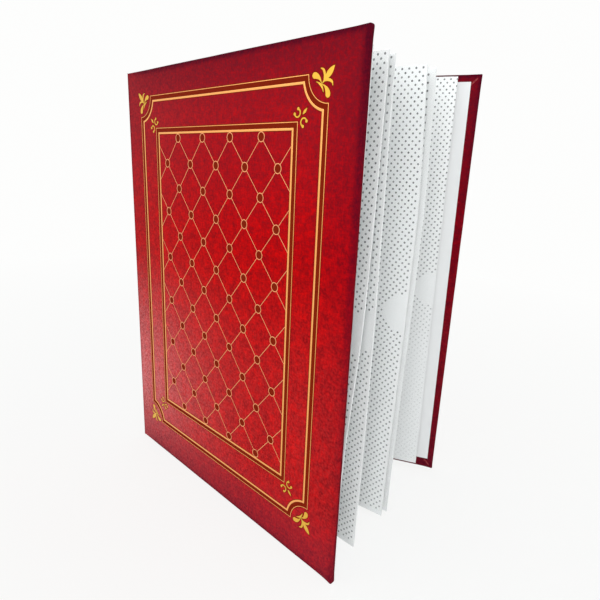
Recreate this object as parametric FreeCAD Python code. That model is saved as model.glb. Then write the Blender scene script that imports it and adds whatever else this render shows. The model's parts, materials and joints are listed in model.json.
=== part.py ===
# Book-bound self-adhesive album for stamps and cards, standing with its back cover part open.
#
# Frame: the origin is the middle of the spine's foot, on the surface the album stands on.
# +X runs from the spine to the front cover's fore-edge, +Y from the front cover to the back
# cover and +Z up along the spine. All lengths are in millimetres and all angles in degrees.
import FreeCAD, Part
import math
import os
from FreeCAD import Vector

# Case: three boards covered by one sheet of leatherette
cover_height = 310.0
cover_width = 230.0
spine_width = 59.0
board_thickness = 3.0
wrap_thickness = 0.4
edge_round = 1.0
largest_round_share = 0.45
turn_in = 15.0
joint_clearance = 0.3

# Paper inside the case: the pastedowns and the spine's lining
lining_thickness = 0.25
lining_margin = 6.0
lining_joint_margin = 4.0

# How far each cover stands open, measured from the closed album
front_open_angle = 0.0
back_open_angle = 26.5

# Binding: spacer strips and folded cloth guards that carry the leaves
mull_thickness = 0.3
mull_end_margin = 15.0
spacer_depth = 7.4
spacer_cover_gap = 0.55
stub_thickness = 0.6
hinge_clearance = 0.25
band_radius = 1.5

# Leaves: dotted card with a clear film on each face
leaf_square = 4.0
leaf_fore_square = 9.4
card_thickness = 0.9
guard_thickness = 1.2
guard_width = 12.0
card_inset = 2.0
film_thickness = 0.1
film_guard_gap = 0.3
leaf_end_margin = 8.5

# Each leaf: angle when the album is closed, the cover it follows, the share of that cover's
# swing that it takes, how far it has lifted or sagged from the middle of the cover, and how far
# its fore-edge is set back
leaves = (
    (-0.3, "front", 0.80, -1.5, 0.0),
    (-0.6, "front", 0.60, -1.5, 0.0),
    (0.4, "front", 0.40, -1.5, 0.0),
    (1.2, "front", 0.20, -2.5, 0.0),
    (1.4, "back", 0.385, -1.5, 2.4),
    (0.7, "back", 0.42, -1.5, 2.4),
    (0.9, "back", 1.00, 2.0, 0.0),
)

# Gold blocking on the front cover: margins of the outer rule from the cover's edges
foil_thickness = 0.1
foil_gap = 0.1
panel_spine_margin = 20.1
panel_fore_margin = 22.3
panel_head_margin = 18.3
panel_foot_margin = 26.6
thin_rule = 0.4
thick_rule = 1.3
rule_step = 3.5
corner_radius = 14.3
inner_side_inset = 21.1
inner_end_inset = 22.4

# Trellis of rings and diagonals inside the inner rule
trellis_rows = 13
trellis_column_pitch = 29.2
trellis_line = 0.35
ring_radius = 3.0
ring_line = 0.45

# Small curves in the foil are drawn as this many flat sides, to keep it light
ring_sides = 12
knob_sides = 10
curve_sides = 14

# Fleurons: how far their roots stand from the rules' corners, along the diagonal
large_fleuron_inset = 7.5
small_fleuron_offset = 3.0

# Large fleuron, right half, as (across, along) from its root towards its tip
bud_side = ((0.0, 0.0), (0.75, 3.2), (1.6, 6.8), (1.1, 9.6), (0.0, 11.6))
leaflet_outline = ((0.2, 3.6), (2.0, 5.5), (4.4, 6.0), (6.2, 4.6), (4.2, 4.9), (1.8, 3.7), (0.4, 2.2))
lobe_outline = ((0.0, 0.4), (3.2, 1.8), (6.2, 1.8), (8.1, 0.4),
                (7.8, -1.3), (6.2, -1.6), (4.9, -0.7), (2.6, 0.5))
tail_outline = ((0.1, 0.3), (1.9, -0.2), (3.8, -1.5), (1.6, -1.0), (0.0, -0.9))

# Small fleuron: a bud between two scrolls that stand back to back
scroll_radius = 2.1
scroll_line = 0.8
scroll_offset = 3.4
scroll_half_sweep = 120.0
knob_radius = 0.85
small_bud_side = ((0.0, 2.0), (0.8, 4.2), (0.0, 6.6))

# Sizes that follow from the values above
cover_thickness = board_thickness + 2 * wrap_thickness
half_cover = cover_thickness / 2
half_board = board_thickness / 2
cover_reach = cover_width - half_cover
joint_y = spine_width / 2 - half_cover
edge_fillet = min(edge_round, largest_round_share * cover_thickness)

spine_half_width = spine_width / 2 - cover_thickness - joint_clearance
mull_back = half_cover + lining_thickness
block_back = mull_back + mull_thickness
block_front = block_back + spacer_depth
block_half_width = spine_width / 2 - cover_thickness - lining_thickness - spacer_cover_gap

half_guard = guard_thickness / 2
half_card = card_thickness / 2
leaf_axis_x = block_front + hinge_clearance + half_guard
leaf_width = cover_reach - leaf_axis_x - leaf_fore_square
leaf_height = cover_height - 2 * leaf_square
block_z_span = (leaf_square, leaf_square + leaf_height)
leaf_pitch = (spine_width - 2 * leaf_end_margin) / (len(leaves) - 1)
leaf_axis_y = [leaf_end_margin - spine_width / 2 + leaf_pitch * k for k in range(len(leaves))]


def box(x_span, y_span, z_span):
    """Box between two corners, given as (low, high) pairs along each axis."""
    spans = [sorted(span) for span in (x_span, y_span, z_span)]
    size = [high - low for low, high in spans]
    return Part.makeBox(*size, Vector(*[low for low, high in spans]))


def line(start, end):
    """Straight edge between two points."""
    return Part.LineSegment(start, end).toShape()


def arc(start, middle, end):
    """Round edge through three points."""
    return Part.Arc(start, middle, end).toShape()


def swing(shape, axis, angle):
    """Turn a shape built about the origin, then set its hinge line at axis."""
    shape.rotate(Vector(0, 0, 0), Vector(0, 0, 1), angle)
    shape.translate(axis)
    return shape


def export(node, shape):
    shape.exportStep(f"parts/{node}.step")


# Covers. Each is built closed about its own hinge line; side is -1 for the front, +1 for the back,
# and the outer face is on that side.

def round_ended_profile(length, half, far_round=0.0):
    """Plate seen from above: full round on the hinge line, its far corners rounded if asked."""
    far = length - far_round
    edges = [
        arc(Vector(0, half, 0), Vector(-half, 0, 0), Vector(0, -half, 0)),
        line(Vector(0, -half, 0), Vector(far, -half, 0)),
        line(Vector(length, far_round - half, 0), Vector(length, half - far_round, 0)),
        line(Vector(far, half, 0), Vector(0, half, 0)),
    ]
    if far_round > 0:
        slack = far_round * (1 - math.sqrt(0.5))
        for way in (-1, 1):
            edges.append(arc(Vector(far, way * half, 0),
                             Vector(length - slack, way * (half - slack), 0),
                             Vector(length, way * (half - far_round), 0)))
    return Part.Face(Part.Wire(Part.__sortEdges__(edges)))


def edge_profile(half, height, rounding):
    """Outline of a board's section across its thickness, with its head and foot corners rounded."""
    slice_length = half
    section = Part.makeBox(slice_length, 2 * half, height, Vector(0, -half, 0))
    corners = [edge for edge in section.Edges if edge.BoundBox.XLength > slice_length / 2]
    rounded = section.makeFillet(rounding, corners)
    return [face for face in rounded.Faces if face.BoundBox.XMax < slice_length / 2][0]


def cover_board():
    return box((0, cover_reach - wrap_thickness),
               (-half_board, half_board),
               (wrap_thickness, cover_height - wrap_thickness))


def cover_window(side):
    """Bare field of the board inside the turn-ins, as deep as the wrap is thick."""
    return box((0, cover_reach - turn_in),
               (-side * half_board, -side * half_cover),
               (turn_in, cover_height - turn_in))


def cover_wrap(side):
    """Leatherette round a cover board, turned in at head, foot and fore-edge."""
    along = round_ended_profile(cover_reach, half_cover, edge_fillet).extrude(Vector(0, 0, cover_height))
    across = edge_profile(half_cover, cover_height, edge_fillet).extrude(Vector(cover_width, 0, 0))
    across.translate(Vector(-half_cover, 0, 0))
    return along.common(across).cut(cover_board()).cut(cover_window(side))


def cover_pastedown(side):
    """Endpaper that fills the bare field and laps over the turn-ins."""
    sheet = box((lining_joint_margin, cover_reach - lining_margin),
                (-side * half_cover, -side * (half_cover + lining_thickness)),
                (lining_margin, cover_height - lining_margin))
    return sheet.fuse(cover_window(side)).removeSplitter()


# Spine

def spine_board():
    half = spine_half_width - wrap_thickness
    return box((-half_board, half_board), (-half, half), (wrap_thickness, cover_height - wrap_thickness))


def spine_window():
    half = spine_half_width - wrap_thickness
    return box((half_board, half_cover), (-half, half), (turn_in, cover_height - turn_in))


def spine_wrap():
    """Leatherette round the spine board, its outer edges rounded, turned in at head and foot."""
    solid = box((-half_cover, half_cover), (-spine_half_width, spine_half_width), (0, cover_height))
    upright = [edge for edge in solid.Edges if edge.BoundBox.ZLength > edge.BoundBox.YLength]
    outer = [edge for edge in upright if edge.BoundBox.XMax < 0]
    return solid.makeFillet(edge_fillet, outer).cut(spine_board()).cut(spine_window())


def spine_lining():
    """Paper that fills the spine's bare field and laps over its turn-ins."""
    half = spine_half_width - edge_fillet
    sheet = box((half_cover, mull_back), (-half, half), (lining_margin, cover_height - lining_margin))
    return sheet.fuse(spine_window()).removeSplitter()


def spine_mull():
    """Gauze glued across the back of the spacers."""
    half = block_half_width - mull_thickness
    return box((mull_back, block_back), (-half, half), (mull_end_margin, cover_height - mull_end_margin))


def leaf_stub(axis_y):
    """Fixed fold of a leaf's cloth guard, held between two spacers."""
    half = stub_thickness / 2
    return box((block_back, block_front), (axis_y - half, axis_y + half), block_z_span)


def spacer_strips():
    """Card strips that keep the leaves apart at the spine."""
    half = stub_thickness / 2
    starts = [-block_half_width] + [y + half for y in leaf_axis_y]
    ends = [y - half for y in leaf_axis_y] + [block_half_width]
    strips = [box((block_back, block_front), span, block_z_span) for span in zip(starts, ends)]
    return Part.makeCompound(strips)


def end_band(z, up):
    """Half-round band on the spacers' head (up = 1) or foot (up = -1), at the spine side."""
    middle = block_back + band_radius
    start = Vector(middle - band_radius, -block_half_width, z)
    top = Vector(middle, -block_half_width, z + up * band_radius)
    end = Vector(middle + band_radius, -block_half_width, z)
    face = Part.Face(Part.Wire([line(end, start), arc(start, top, end)]))
    return face.extrude(Vector(0, 2 * block_half_width, 0))


# Leaves, each built flat along +X about its own hinge line

def leaf_card(set_back):
    return box((card_inset, leaf_width - set_back), (-half_card, half_card), (0, leaf_height))


def leaf_guard(set_back):
    """Cloth guard: a full-round fold on the hinge line that clasps the card's inner edge."""
    solid = round_ended_profile(guard_width, half_guard).extrude(Vector(0, 0, leaf_height))
    return solid.cut(leaf_card(set_back))


def leaf_film(side, set_back):
    return box((guard_width + film_guard_gap, leaf_width - set_back),
               (side * half_card, side * (half_card + film_thickness)),
               (0, leaf_height))


# Gold blocking. Outlines are drawn on the closed front cover in its own X and Z, with the spine
# edge at x = 0, and become thin solids on the outer face.

def flat(x, z):
    return Vector(x, 0, z)


def rectangle(x0, x1, z0, z1):
    corners = [flat(x0, z0), flat(x1, z0), flat(x1, z1), flat(x0, z1), flat(x0, z0)]
    return Part.Face(Part.makePolygon(corners))


def disc(x, z, radius):
    return Part.Face(Part.Wire(Part.Circle(flat(x, z), Vector(0, -1, 0), radius).toShape()))


def polygon(points):
    return Part.Face(Part.makePolygon(points + points[:1]))


def many_sided(x, z, radius, sides):
    """Disc drawn with a few flat sides."""
    turns = [2 * math.pi * (step + 0.5) / sides for step in range(sides)]
    return polygon([flat(x + radius * math.sin(turn), z + radius * math.cos(turn)) for turn in turns])


def incurved_panel(rule, grow, corners):
    """Panel bounded by a rule's line moved outwards by grow, its corners scooped out by round arcs."""
    x0, x1, z0, z1, radius = rule
    x0, x1, z0, z1, radius = x0 - grow, x1 + grow, z0 - grow, z1 + grow, radius - grow
    panel = rectangle(x0, x1, z0, z1)
    return panel.cut([disc(x, z, radius) for x, z in corners])


def stamp(face):
    """Thin solid that stands on the cover's outer face."""
    return face.extrude(Vector(0, -foil_thickness, 0))


def on_cover(solids):
    """Set foil solids from the cover's own X and Z on its outer face."""
    foil = Part.makeCompound(solids)
    foil.translate(Vector(-half_cover, -half_cover, 0))
    return foil


def joined(shapes):
    return shapes[0].multiFuse(shapes[1:]).removeSplitter()


outer_rule = (panel_spine_margin, cover_width - panel_fore_margin,
              panel_foot_margin, cover_height - panel_head_margin)


def shrink(rule, side, end):
    x0, x1, z0, z1 = rule
    return (x0 + side, x1 - side, z0 + end, z1 - end)


def corners_of(rule):
    x0, x1, z0, z1 = rule
    return [(x, z) for x in (x0, x1) for z in (z0, z1)]


inner_rule = shrink(outer_rule, inner_side_inset, inner_end_inset)
inner_thick_rule = shrink(inner_rule, rule_step, rule_step)


def gold_rules():
    """Outer pair of rules with incurved corners, and the plain inner pair."""
    corners = corners_of(outer_rule)
    faces = []
    for step, width in ((0, thin_rule), (rule_step, thick_rule)):
        rule = shrink(outer_rule, step, step) + (corner_radius + step,)
        outside = incurved_panel(rule, width / 2, corners)
        faces.append(outside.cut(incurved_panel(rule, -width / 2, corners)))
    for rule, width in ((inner_rule, thin_rule), (inner_thick_rule, thick_rule)):
        outside = shrink(rule, -width / 2, -width / 2)
        inside = shrink(rule, width / 2, width / 2)
        faces.append(rectangle(*outside).cut(rectangle(*inside)))
    return on_cover([stamp(face) for shape in faces for face in shape.Faces])


def gold_trellis():
    """Diagonals that cross in rings, cut off at the inner rule."""
    inset = thick_rule / 2 + foil_gap
    field = shrink(inner_thick_rule, inset, inset)
    x0, x1, z0, z1 = field
    middle = (x0 + x1) / 2
    half_pitch = trellis_column_pitch / 2
    row_pitch = (z1 - z0 - 2 * ring_radius) / (trellis_rows - 1)
    rings = []
    diagonals = []
    columns = int((x1 - x0) / 2 / half_pitch) + 1
    for row in range(trellis_rows):
        z = z0 + ring_radius + row * row_pitch
        for column in range(-columns, columns + 1):
            x = middle + column * half_pitch
            on_lattice = (row + column) % 2 == 1
            if on_lattice and x0 + ring_radius < x < x1 - ring_radius:
                rings.append((x, z))
    rise = math.hypot(half_pitch, row_pitch)
    lean = math.degrees(math.atan2(half_pitch, row_pitch))
    reach = trellis_rows * rise
    strip = rectangle(-trellis_line / 2, trellis_line / 2, -reach, reach)
    span = trellis_rows + columns
    for way in (-1, 1):
        for step in range(-span, span + 1):
            diagonal = strip.copy()
            diagonal.rotate(flat(0, 0), Vector(0, 1, 0), way * lean)
            diagonal.translate(flat(middle + (2 * step + 1) * half_pitch, z0 + ring_radius))
            trimmed = diagonal.common(rectangle(*field))
            diagonals.extend(trimmed.Faces)
    holes = [many_sided(x, z, ring_radius - ring_line, ring_sides) for x, z in rings]
    discs = [many_sided(x, z, ring_radius, ring_sides) for x, z in rings]
    pattern = joined(diagonals + discs).cut(holes)
    return on_cover([stamp(face) for face in pattern.removeSplitter().Faces])


def mirrored(points):
    return [(-x, z) for x, z in points]


def smooth(points, closed):
    """Points spaced along a smooth curve, the last one left off because the next curve starts there."""
    curve = Part.BSplineCurve()
    curve.interpolate([flat(*point) for point in points], PeriodicFlag=closed)
    return curve.discretize(Number=curve_sides + 1)[:-1]


def bud(side):
    """Pointed bud: one curve up its right side and its mirror image down the left."""
    return polygon(smooth(side, False) + smooth(mirrored(side)[::-1], False))


def petal(outline):
    """Rounded petal: one smooth closed curve through its points."""
    return polygon(smooth(outline, True))


def large_fleuron():
    petals = [petal(side) for outline in (leaflet_outline, lobe_outline, tail_outline)
              for side in (outline, mirrored(outline))]
    return joined([stamp(face) for face in [bud(bud_side)] + petals])


def scroll(side):
    """Round scroll that opens away from the bud, with a knob at each end."""
    x = side * scroll_offset
    sweep = math.radians(scroll_half_sweep)
    turns = [sweep * (2 * step / curve_sides - 1) for step in range(curve_sides + 1)]
    outside = scroll_radius + scroll_line / 2
    inside = scroll_radius - scroll_line / 2
    points = [flat(x - side * outside * math.cos(turn), outside * math.sin(turn)) for turn in turns]
    points += [flat(x - side * inside * math.cos(turn), inside * math.sin(turn)) for turn in turns[::-1]]
    knobs = [many_sided(x - side * scroll_radius * math.cos(turn), scroll_radius * math.sin(turn),
                        knob_radius, knob_sides) for turn in (turns[0], turns[-1])]
    return joined([stamp(face) for face in [polygon(points)] + knobs])


def small_fleuron():
    return Part.makeCompound([stamp(bud(small_bud_side)), scroll(-1), scroll(1)])


def gold_fleurons():
    """One large fleuron in each incurved corner and a small one outside each inner corner."""
    solids = []
    for rule, ornament, outward in ((outer_rule, large_fleuron(), -large_fleuron_inset),
                                    (inner_rule, small_fleuron(), small_fleuron_offset)):
        x_middle = (rule[0] + rule[1]) / 2
        z_middle = (rule[2] + rule[3]) / 2
        for x, z in corners_of(rule):
            x_way = math.copysign(math.sqrt(0.5), x - x_middle)
            z_way = math.copysign(math.sqrt(0.5), z - z_middle)
            copy = ornament.copy()
            copy.rotate(flat(0, 0), Vector(0, 1, 0), math.degrees(math.atan2(x_way, z_way)))
            copy.translate(flat(x + outward * x_way, z + outward * z_way))
            solids.extend(copy.Solids)
    return on_cover(solids)


os.makedirs("parts", exist_ok=True)

for name, side, open_angle in (("front", -1, front_open_angle), ("back", 1, back_open_angle)):
    hinge = Vector(0, side * joint_y, 0)
    pieces = {"board": cover_board(), "cover_wrap": cover_wrap(side), "pastedown": cover_pastedown(side)}
    if name == "front":
        pieces.update(gold_rules=gold_rules(), gold_trellis=gold_trellis(), gold_fleurons=gold_fleurons())
    for piece, shape in pieces.items():
        export(f"{name}_{piece}", swing(shape, hinge, side * open_angle))

export("spine_board", spine_board())
export("spine_wrap", spine_wrap())
export("spine_lining", spine_lining())
export("spine_mull", spine_mull())
export("spacer_strips", spacer_strips())
export("head_band", end_band(block_z_span[1], 1))
export("tail_band", end_band(block_z_span[0], -1))

swing_of = {"front": -front_open_angle, "back": back_open_angle}
for k, (closed_angle, cover, share, lift, set_back) in enumerate(leaves):
    hinge = Vector(leaf_axis_x, leaf_axis_y[k], leaf_square + lift)
    angle = closed_angle + share * swing_of[cover]
    pieces = {"card": leaf_card(set_back), "guard": leaf_guard(set_back)}
    pieces.update(front_film=leaf_film(-1, set_back), back_film=leaf_film(1, set_back))
    for piece, shape in pieces.items():
        export(f"leaf_{k + 1}_{piece}", swing(shape, hinge, angle))
    export(f"leaf_{k + 1}_stub", leaf_stub(leaf_axis_y[k]))
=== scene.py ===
# Looks of a book-bound self-adhesive album: leatherette case with gold blocking, dotted card leaves
# under clear film, and the cloth and paper that cross its hinges. Lengths are in metres.
import json
import math

import bmesh
import bpy
import numpy as np
from mathutils import Matrix, Vector, noise


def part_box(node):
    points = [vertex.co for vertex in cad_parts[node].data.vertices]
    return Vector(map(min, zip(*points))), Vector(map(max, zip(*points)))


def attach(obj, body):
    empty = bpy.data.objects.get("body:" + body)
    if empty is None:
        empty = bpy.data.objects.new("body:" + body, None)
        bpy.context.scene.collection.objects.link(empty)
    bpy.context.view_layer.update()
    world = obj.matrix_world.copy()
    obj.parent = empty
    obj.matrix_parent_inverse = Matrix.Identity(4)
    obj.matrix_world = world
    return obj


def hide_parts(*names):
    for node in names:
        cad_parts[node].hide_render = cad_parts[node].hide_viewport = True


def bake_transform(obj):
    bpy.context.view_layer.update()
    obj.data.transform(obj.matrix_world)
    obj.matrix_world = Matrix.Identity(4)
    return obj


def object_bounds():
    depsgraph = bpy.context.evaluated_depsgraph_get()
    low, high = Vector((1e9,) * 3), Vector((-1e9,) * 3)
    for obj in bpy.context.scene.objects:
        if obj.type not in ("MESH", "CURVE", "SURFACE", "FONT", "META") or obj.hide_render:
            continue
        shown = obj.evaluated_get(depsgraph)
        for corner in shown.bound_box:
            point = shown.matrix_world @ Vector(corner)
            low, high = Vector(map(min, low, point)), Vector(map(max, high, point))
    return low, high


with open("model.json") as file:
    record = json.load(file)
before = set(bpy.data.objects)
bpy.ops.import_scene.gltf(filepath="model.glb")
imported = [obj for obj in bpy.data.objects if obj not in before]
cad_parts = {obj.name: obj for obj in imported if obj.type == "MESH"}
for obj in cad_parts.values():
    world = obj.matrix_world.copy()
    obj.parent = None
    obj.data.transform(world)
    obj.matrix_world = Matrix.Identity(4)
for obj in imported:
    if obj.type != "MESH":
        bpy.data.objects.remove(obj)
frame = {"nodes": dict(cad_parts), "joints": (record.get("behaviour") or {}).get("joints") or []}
cad_low, cad_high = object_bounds()

MM = 0.001
SAME = 0.02 * MM

# Camera: where it stands, where it looks and what its lens takes in
camera_place = Vector((382.758, -228.202, 250.324)) * MM
camera_azimuth = 46.680
camera_elevation = 15.762
camera_roll = 1.654
camera_lens = 30.077
camera_shift = (0.0401, 0.0004)
camera_near = 10 * MM

# Case: soft edges, folded corners and pastedowns
edge_round = 1.2 * MM
corner_radius = 0.7 * MM
joint_corner_radius = 0.5 * MM
least_corner = 0.05 * MM
corner_bulge = 0.38 * MM
corner_bulge_reach = 5.0 * MM
corner_bulge_out = 0.5
lump_share = 0.7
lump_pitch = 420.0
lump_shift = 900.0
edge_wander = 0.10 * MM
edge_wander_length = 22.0 * MM
edge_wander_seed = 3
spine_side_room = 0.15 * MM
edge_steps = 14
face_insets = tuple(inset * MM for inset in (0.5, 1.5, 3.0, 5.0, 8.0, 14.0, 22.0, 32.0))
face_inset_room = 3.0 * MM
side_samples = 36
corner_samples = 5
pastedown_margin = 6.0 * MM
paste_foot_shift = Vector((1.4, 2.4)) * MM
paste_head_shift = Vector((-0.7, 1.2)) * MM
paste_columns = 12
paste_rows = 16
paste_edge_swell = 0.02 * MM
mitre_start = 0.6 * edge_round
mitre_width = 1.1 * MM
mitre_height = 0.22 * MM

# Leatherette: how strong the scuffing, the painted shade and the painted sheen are, and where each lies
# painted shade over the face within the first reach of its edges; it and the rims' scuffing are weakest a
# little above the foot, full near the foot and at the head
face_shade_reach = 30.0 * MM
face_shade = 0.42
low_wear_and_shade_share = 0.35
foot_wear_and_shade_reach = 45.0 * MM
rim_reach = 3.0 * MM
rim_wear = 0.48
turn_in_wear = 0.52
# painted shade: the turn-ins darker towards the foot
turn_in_foot_shade = 0.48
joint_wear = 0.35
# the scuffing and painted shade lessen near the joint
joint_wear_and_shade_span = (4 * MM, 26 * MM)
joint_wear_and_shade_share = 0.5
# the scuffing and painted shade grow from the foot towards the head, painting the head darker
wear_and_shade_height = 310 * MM
wear_and_shade_height_shares = (0.85, 1.1)
# painted shade: the leatherette darker towards the head
head_shade_share = 0.62
head_shade_span = (170 * MM, 310 * MM)
# painted shade: the leatherette darker towards the foot
foot_shade_share = 0.45
foot_shade_span = (0.0, 55 * MM)
# painted sheen: a pale haze by the joint, strongest low down, and a faint one over the lower part of the
# face
sheen_joint = 0.28
sheen_reach = 170 * MM
sheen_head_span = (60 * MM, 185 * MM)
sheen_head_share = 0.08
sheen_foot_span = (0.0, 60 * MM)
sheen_foot_share = 0.35
sheen_low = 0.022
sheen_low_span = (90 * MM, 210 * MM)

# Tones of the materials, and the pitch of the threads in woven ones
red_deep = (0.200, 0.0010, 0.003)
red_middle = (0.420, 0.0006, 0.0010)
red_bright = (0.555, 0.0008, 0.0008)
# colour of the painted shade at the head
head_shade_tone = (0.185, 0.008, 0.016)
# colour of the painted shade at the foot
foot_shade_tone = (0.190, 0.010, 0.027)
# colour of the painted sheen
sheen_tone = (0.81, 0.42, 0.42)
# colour of the scuffed rims and of the painted shade over the face
wear_and_shade_tone = (0.050, 0.0010, 0.009)
rub_tones = ((0.16, 0.006, 0.012), (0.29, 0.045, 0.045))
# painted shade of a pressed groove, with scorched pile
press_shade_tones = ((0.140, 0.009, 0.0011), (0.19, 0.012, 0.0016))
gold_tones = {
    "rules": ((0.85, 0.37, 0.105), (0.90, 0.42, 0.120)),
    "trellis": ((0.88, 0.35, 0.150), (0.92, 0.39, 0.170)),
    "fleurons": ((0.71, 0.40, 0.040), (0.75, 0.45, 0.050)),
}
endpaper_tone = (0.76, 0.77, 0.77)
guard_pitch = 0.6 * MM
guard_tones = ((0.62, 0.62, 0.59), (0.87, 0.87, 0.85))
gauze_pitch = 1.4 * MM
gauze_tones = ((0.50, 0.48, 0.42), (0.84, 0.82, 0.75))
spacer_tones = ((0.66, 0.65, 0.61), (0.84, 0.83, 0.80))
band_tones = ((0.82, 0.79, 0.72), (0.36, 0.012, 0.022))
band_shade = (0.2, 0.15, 0.12)
film_tone = (0.93, 0.95, 0.95)
card_tones = ((0.885, 0.905, 0.90), (0.91, 0.925, 0.92))
card_edge_tone = (0.70, 0.72, 0.71)
ink_tone = (0.018, 0.026, 0.030)

# Leatherette that crosses each outer joint, and the endpaper that crosses each inner one
joint_skin = 0.12 * MM
joint_lap = 3.0 * MM
joint_dip = 0.75 * MM
joint_dip_out = 0.15 * MM
joint_lift = 0.02 * MM
joint_end_margin = 0.05 * MM
joint_first_turn = 215.0
joint_arc_steps = 8
joint_curve_steps = 3
joint_rows = 60
hinge_paper = 0.22 * MM
hinge_paper_lift = 0.02 * MM
hinge_block_gap = 0.03 * MM
hinge_glue_ends = (0.5 * MM, 2.0 * MM)
hinge_cover_lap = 1.6 * MM
hinge_fold_in = 0.25 * MM
hinge_end_margin = 1.0 * MM
hinge_curve_steps = 5
hinge_rows = 40

# Leaves: how far the fore-edge of each leans out of its plane, in mm, at five heights from foot to head
leaf_lean = {
    1: (-1.6, -1.0, 0.0, 0.5, 0.8),
    2: (-5.5, -3.6, 0.0, 1.6, 2.2),
    3: (-10.5, -7.4, 0.9, 4.0, 5.3),
    4: (0.1, 2.3, 2.8, 1.8, 0.9),
    5: (-5.4, -0.8, 4.0, 5.7, -3.1),
    6: (-6.3, -2.8, 2.3, 5.5, 0.4),
    7: (-1.0, -0.6, 0.0, 0.2, 0.0),
}
lean_heights = (0, 0.25, 0.5, 0.75, 1)
lean_steps = 10
lean_power = 1.6
leaf_head_trim = {7: 2.0 * MM}
# painted light and shade: the cards of leaves 1 to 6 made lighter and that of leaf 7 darker, for how much
# light reaches each among the leaves
leaf_painted_light = {1: 1.04, 2: 1.04, 3: 1.04, 4: 1.04, 5: 1.01, 6: 1.01, 7: 0.91}
leaf_columns = 24
leaf_rows = 40
card_edge_swell = 0.10 * MM
film_gap = 0.03 * MM

# Adhesive dots on the leaves; fore-edge margins are in mm
dot_radius = 0.60 * MM
dot_softness = 0.15 * MM
dot_pitch_across = 4.3 * MM
dot_pitch_along = 4.45 * MM
dot_head_margin = 1.3 * MM
dot_foot_margin = 3.4 * MM
dot_spine_margin = 16.0 * MM
dot_fore_margin = {1: 2.0, 2: 2.0, 3: 2.0, 4: 1.6, 5: 1.8, 6: 2.4, 7: 2.0}
# painted reflection: the dots of leaf 7 faint over its lower part, standing in for the film's glare
dot_foot_glare = {7: 0.8}
dot_glare_span = (0.3, 0.6)
faintest_dot = 0.78
facing_limit = 0.7
patch_radius = 12.5 * MM
patch_centre_inset = 3.0 * MM

# Gold blocking: sizes on the front cover
foil_height = 0.05 * MM
press_height = 0.018 * MM
band_press_height = 0.8 * press_height
press_margin = 0.45 * MM
trellis_press_margin = 0.12 * MM
thin_rule = 0.4 * MM
thick_rule = 1.3 * MM
rule_step = 3.5 * MM
rule_corner_radius = 14.3 * MM
inner_side_inset = 21.1 * MM
inner_end_inset = 22.4 * MM
trellis_rows = 13
trellis_column_pitch = 29.2 * MM
trellis_line = 0.40 * MM
ring_radius = 3.0 * MM
ring_line = 0.50 * MM
ring_sides = 40
arc_steps = 16
ribbon_profile = ((-1.0, 0.0), (-0.92, 0.7), (-0.7, 1.0), (0.7, 1.0), (0.92, 0.7), (1.0, 0.0))
ribbon_bend_limit = 0.35
plaque_rim = 0.6
plaque_levels = 7
plaque_level_step = 0.003 * MM
large_fleuron_inset = 7.5 * MM
small_fleuron_offset = 3.0 * MM

# Fleurons in mm: outlines of the right half as (across, along) from the root towards the tip, and scrolls
bud_side = ((0.0, 0.0), (0.75, 3.2), (1.6, 6.8), (1.1, 9.6), (0.0, 11.6))
leaflet_outline = ((0.2, 3.6), (2.0, 5.5), (4.4, 6.0), (6.2, 4.6), (4.2, 4.9), (1.8, 3.7), (0.4, 2.2))
lobe_outline = ((0.0, 0.4), (3.2, 1.8), (6.2, 1.8), (8.1, 0.4),
                (7.8, -1.3), (6.2, -1.6), (4.9, -0.7), (2.6, 0.5))
tail_outline = ((0.1, 0.3), (1.9, -0.2), (3.8, -1.5), (1.6, -1.0), (0.0, -0.9))
small_bud_side = ((0.0, 2.0), (0.8, 4.2), (0.0, 6.6))
scroll_radius = 2.1
scroll_line = 0.8
scroll_offset = 3.4
scroll_half_sweep = 120.0
knob_radius = 0.85
curve_steps = 8

# Head and tail bands
band_wraps = 34
band_wrap_depth = 0.12 * MM
band_wrap_steps = 6
band_sides = 12
band_sharp = 60.0

# Stage: tones of floor and backdrop, how the one fades into the other, the light from the surroundings,
# and the lamps, each with its place, size and power
backdrop_tone = (0.985, 0.987, 0.980)
floor_tone = (0.93, 0.935, 0.925)
floor_glow = 0.84
floor_fade = (0.15, 0.9)
floor_reach = 12.0
horizon_light = 1.80
zenith_light = 0.20
light_tone = (0.97, 0.985, 1.0)
lamp_aim = (0.1, 0.0, 0.15)
lamps = {
    "key": ((-0.35, -1.2, 0.75), 0.9, 3.1),
    "fill": ((1.15, -1.15, 0.40), 1.0, 9.1),
}

joints = {joint["name"]: joint for joint in frame["joints"]}


# Places read from the frame

def vertices_of(node):
    return [vertex.co for vertex in frame["nodes"][node].data.vertices]


def hinge_frame(joint, node, foot_node):
    """Where a hinged plate stands at rest: origin on its hinge line, +X along the plate, +Z up."""
    pivot = Vector(joints[joint]["pos_m"])
    points = vertices_of(node)
    reach = max((point - pivot).xy.length for point in points)
    far = [point for point in points if (point - pivot).xy.length > reach - SAME]
    middle = sum(far, Vector()) / len(far) - pivot
    turn = Matrix.Rotation(math.atan2(middle.y, middle.x), 4, "Z")
    return Matrix.Translation((pivot.x, pivot.y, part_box(foot_node)[0].z)) @ turn


def local_box(node, place):
    """Lowest and highest corner of a CAD node in another frame."""
    back = place.inverted()
    points = np.array([back @ point for point in vertices_of(node)])
    return Vector(points.min(0)), Vector(points.max(0))


# Shader helpers

def feed(tree, socket, value):
    """Feed a socket from another node, or set it to a plain value."""
    if isinstance(value, bpy.types.NodeSocket):
        tree.links.new(value, socket)
    else:
        socket.default_value = value


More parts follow.
